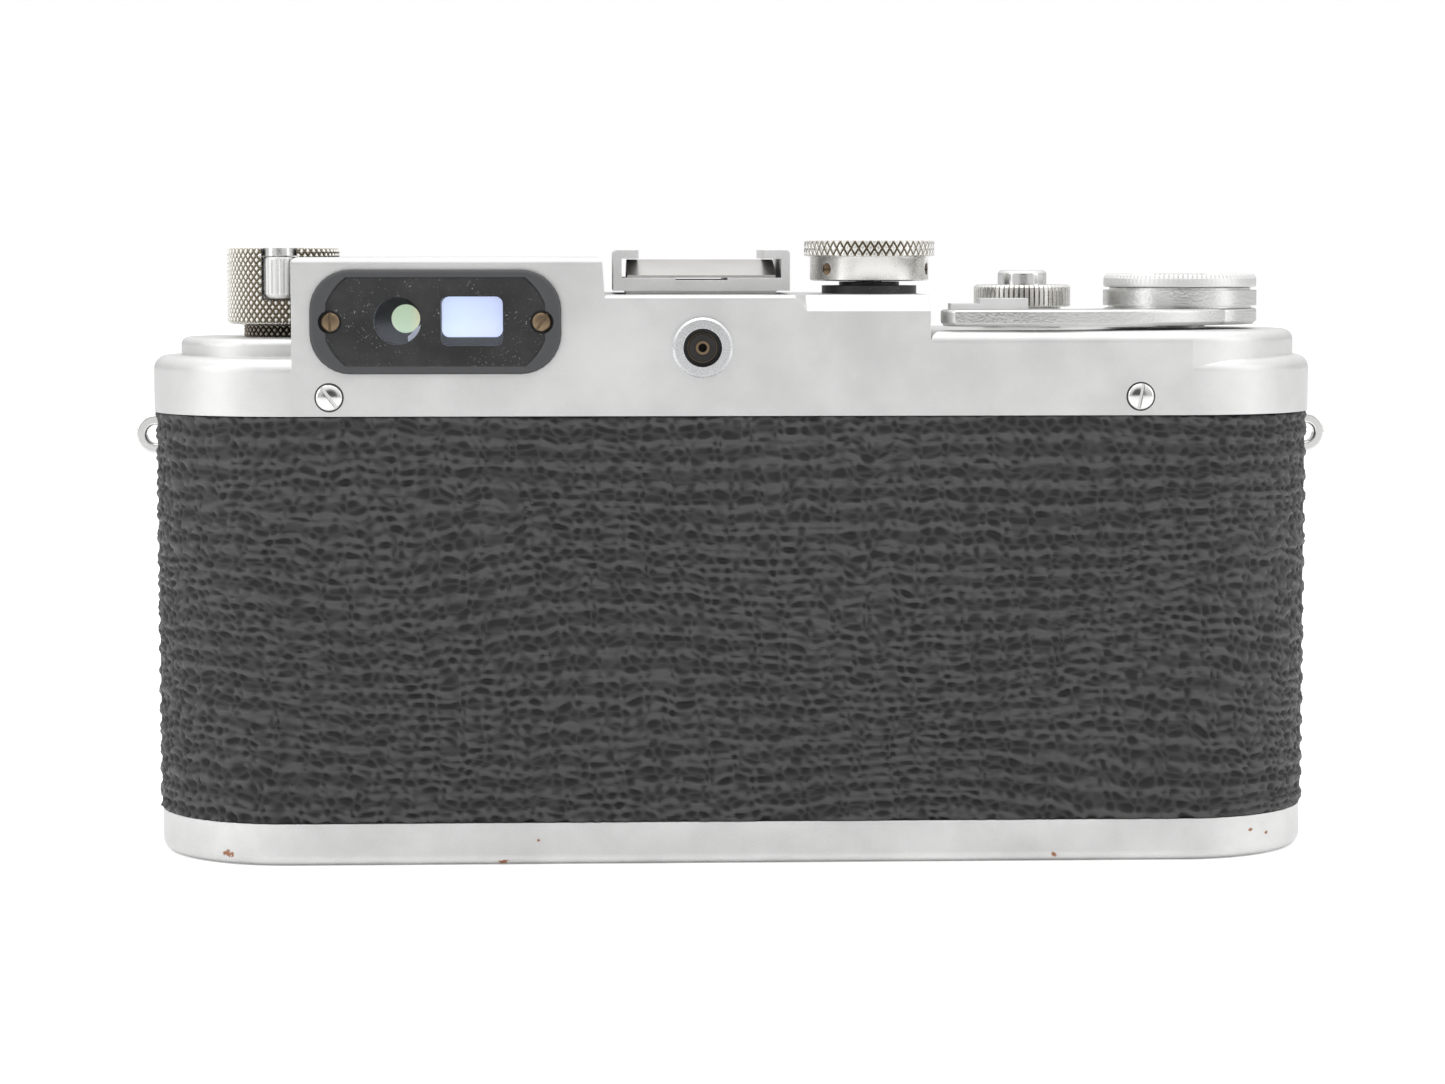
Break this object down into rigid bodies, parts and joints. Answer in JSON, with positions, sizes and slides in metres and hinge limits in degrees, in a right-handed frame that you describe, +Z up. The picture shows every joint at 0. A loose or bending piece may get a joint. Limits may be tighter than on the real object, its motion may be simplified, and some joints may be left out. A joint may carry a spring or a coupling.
{
  "type": "rangefinder camera",
  "caption": "Screw-mount rangefinder camera for 35 mm film with stepped chrome top cover, leatherette body, wind lever, speed dial, rewind crank, accessory shoe and removable base.",
  "frame": {"origin": "centre of the underside of the base plate", "axes": "+Z up, -Y is the way the lens points, +Y is the eyepiece side, +X is towards the rewind knob"},
  "size_m": [0.1408, 0.0576, 0.0715],
  "materials": {
    "satin_chrome": "satin",
    "polished_chrome": "polished",
    "steel": "brushed",
    "leatherette": "grained",
    "cast_alloy": "cast",
    "brass": "machined",
    "black_enamel": "satin",
    "black_plastic": "matte",
    "shutter_cloth": "matte",
    "eyepiece_glass": "clear",
    "lens_glass": "coated"
  },
  "bodies": {
    "camera_body": {"body_shell": "cast_alloy", "leather_cover": "leatherette", "top_cover": "satin_chrome", "chassis_plate": "cast_alloy", "chassis_pins": "steel", "shutter_crate": "cast_alloy", "shutter_curtains": "shutter_cloth", "lens_mount_ring": "polished_chrome", "lens_mount_screws": "steel", "lens_base": "polished_chrome", "eyepiece_plate": "black_enamel", "eyepiece_screws": "steel", "viewfinder_eyepiece": "eyepiece_glass", "rangefinder_eyepiece": "eyepiece_glass", "front_windows": "lens_glass", "window_bezels": "polished_chrome", "rangefinder_prisms": "lens_glass", "accessory_shoe": "satin_chrome", "shoe_spring": "steel", "cover_screws": "polished_chrome", "flash_socket_ring": "cast_alloy", "flash_socket_insulator": "black_plastic", "flash_socket_contact": "brass", "strap_lugs": "polished_chrome", "speed_dial_base": "black_enamel", "release_boss": "satin_chrome", "rewind_sleeve": "satin_chrome"},
    "rewind_knob": {"rewind_knob": "polished_chrome", "rewind_shaft": "steel"},
    "rewind_crank": {"rewind_crank": "polished_chrome"},
    "crank_handle": {"crank_handle": "polished_chrome"},
    "wind_lever": {"wind_lever": "satin_chrome", "lever_tip": "black_enamel", "lever_shaft": "steel", "lever_gear": "brass"},
    "counter_disc": {"counter_disc": "polished_chrome"},
    "idler_gear": {"idler_gear": "brass"},
    "sprocket_pinion": {"sprocket_pinion": "brass"},
    "sprocket": {"sprocket": "cast_alloy"},
    "take_up_spool": {"take_up_spool": "cast_alloy"},
    "shutter_drum": {"shutter_drum": "cast_alloy", "drum_gear": "brass"},
    "spring_roller": {"spring_roller": "steel"},
    "speed_dial": {"speed_dial": "polished_chrome", "dial_set_screws": "steel"},
    "release_button": {"release_button": "polished_chrome", "release_spring": "steel"},
    "selector_collar": {"selector_collar": "polished_chrome"},
    "focus_ring": {"focus_ring": "polished_chrome"},
    "lens_barrel": {"lens_barrel": "polished_chrome", "front_element": "lens_glass", "rear_element": "lens_glass", "iris_blades": "steel"},
    "aperture_ring": {"aperture_ring": "polished_chrome"},
    "rangefinder_arm": {"rangefinder_arm": "steel"},
    "slow_speed_dial": {"slow_speed_dial": "polished_chrome"},
    "pressure_plate": {"pressure_plate": "steel"},
    "base_plate": {"base_plate": "satin_chrome", "tripod_bush": "polished_chrome"},
    "base_lock_key": {"base_lock_key": "polished_chrome"}
  },
  "joints": [
    {"name": "rewind_turn", "type": "hinge", "parent": "camera_body", "child": "rewind_knob", "pos_m": [0.053, 0, 0.066], "axis": [0, 0, 1], "continuous": true},
    {"name": "crank_fold", "type": "hinge", "parent": "rewind_knob", "child": "rewind_crank", "pos_m": [0.053, -0.005, 0.0702], "axis": [1, 0, 0], "range_deg": [0, 180]},
    {"name": "handle_spin", "type": "hinge", "parent": "rewind_crank", "child": "crank_handle", "pos_m": [0.053, 0.005, 0.067], "axis": [0, 0, 1], "continuous": true},
    {"name": "wind_stroke", "type": "hinge", "parent": "camera_body", "child": "wind_lever", "pos_m": [-0.053, 0, 0.0626], "axis": [0, 0, 1], "range_deg": [0, 120]},
    {"name": "counter_step", "type": "hinge", "parent": "camera_body", "child": "counter_disc", "pos_m": [-0.053, 0, 0.0668], "axis": [0, 0, 1], "range_deg": [0, 9]},
    {"name": "idler_turn", "type": "hinge", "parent": "camera_body", "child": "idler_gear", "pos_m": [-0.0305, 0, 0.0544], "axis": [0, 0, 1], "range_deg": [-137.64, 0]},
    {"name": "pinion_turn", "type": "hinge", "parent": "camera_body", "child": "sprocket_pinion", "pos_m": [-0.03753, -0.00099, 0.0527], "axis": [0, 0, 1], "range_deg": [-411.93, 0]},
    {"name": "sprocket_turn", "type": "hinge", "parent": "camera_body", "child": "sprocket", "pos_m": [-0.03729, 0.00651, 0.03], "axis": [0, 0, 1], "range_deg": [0, 361]},
    {"name": "spool_turn", "type": "hinge", "parent": "camera_body", "child": "take_up_spool", "pos_m": [-0.053, 0, 0.028], "axis": [0, 0, 1], "range_deg": [0, 313]},
    {"name": "drum_turn", "type": "hinge", "parent": "camera_body", "child": "shutter_drum", "pos_m": [-0.016, 0, 0.028], "axis": [0, 0, 1], "range_deg": [0, 361]},
    {"name": "roller_turn", "type": "hinge", "parent": "camera_body", "child": "spring_roller", "pos_m": [0.028, -0.001, 0.028], "axis": [0, 0, 1], "range_deg": [0, 541]},
    {"name": "dial_lift", "type": "slide", "parent": "shutter_drum", "child": "speed_dial", "axis": [0, 0, 1], "range_m": [0, 0.0015]},
    {"name": "release_press", "type": "slide", "parent": "camera_body", "child": "release_button", "axis": [0, 0, -1], "range_m": [0, 0.002], "deforming": ["release_spring"]},
    {"name": "collar_turn", "type": "hinge", "parent": "camera_body", "child": "selector_collar", "pos_m": [-0.0347, -0.004, 0.065], "axis": [0, 0, 1], "range_deg": [0, 40]},
    {"name": "focus_turn", "type": "hinge", "parent": "camera_body", "child": "focus_ring", "pos_m": [0.0042, -0.023, 0.0285], "axis": [0, -1, 0], "range_deg": [0, 151]},
    {"name": "barrel_travel", "type": "slide", "parent": "camera_body", "child": "lens_barrel", "axis": [0, -1, 0], "range_m": [0, 0.0026]},
    {"name": "aperture_turn", "type": "hinge", "parent": "lens_barrel", "child": "aperture_ring", "pos_m": [0.0042, -0.033, 0.0285], "axis": [0, -1, 0], "range_deg": [0, 100]},
    {"name": "rangefinder_swing", "type": "hinge", "parent": "camera_body", "child": "rangefinder_arm", "pos_m": [0.0212, -0.00975, 0.043], "axis": [0, 0, 1], "range_deg": [0, 9.1]},
    {"name": "slow_dial_turn", "type": "hinge", "parent": "camera_body", "child": "slow_speed_dial", "pos_m": [-0.034, -0.018, 0.033], "axis": [0, -1, 0], "range_deg": [0, 180]},
    {"name": "pressure_travel", "type": "slide", "parent": "camera_body", "child": "pressure_plate", "axis": [0, 1, 0], "range_m": [0, 0.0005]},
    {"name": "base_removal", "type": "slide", "parent": "camera_body", "child": "base_plate", "axis": [0, 0, -1], "range_m": [0, 0.02]},
    {"name": "lock_turn", "type": "hinge", "parent": "base_plate", "child": "base_lock_key", "pos_m": [0.05, 0, 0.001], "axis": [0, 0, 1], "range_deg": [0, 180]}
  ],
  "couplings": [
    {"joint": "counter_step", "follows": "wind_stroke", "ratio": 0.075},
    {"joint": "idler_turn", "follows": "wind_stroke", "ratio": -1.1429},
    {"joint": "pinion_turn", "follows": "wind_stroke", "ratio": -3.4286},
    {"joint": "sprocket_turn", "follows": "wind_stroke", "ratio": 3},
    {"joint": "spool_turn", "follows": "wind_stroke", "ratio": 2.6},
    {"joint": "drum_turn", "follows": "wind_stroke", "ratio": 3},
    {"joint": "roller_turn", "follows": "wind_stroke", "ratio": 4.5},
    {"joint": "focus_turn", "follows": "barrel_travel", "rad_per_m": 1006.9},
    {"joint": "rangefinder_swing", "follows": "barrel_travel", "rad_per_m": 60.415}
  ]
}
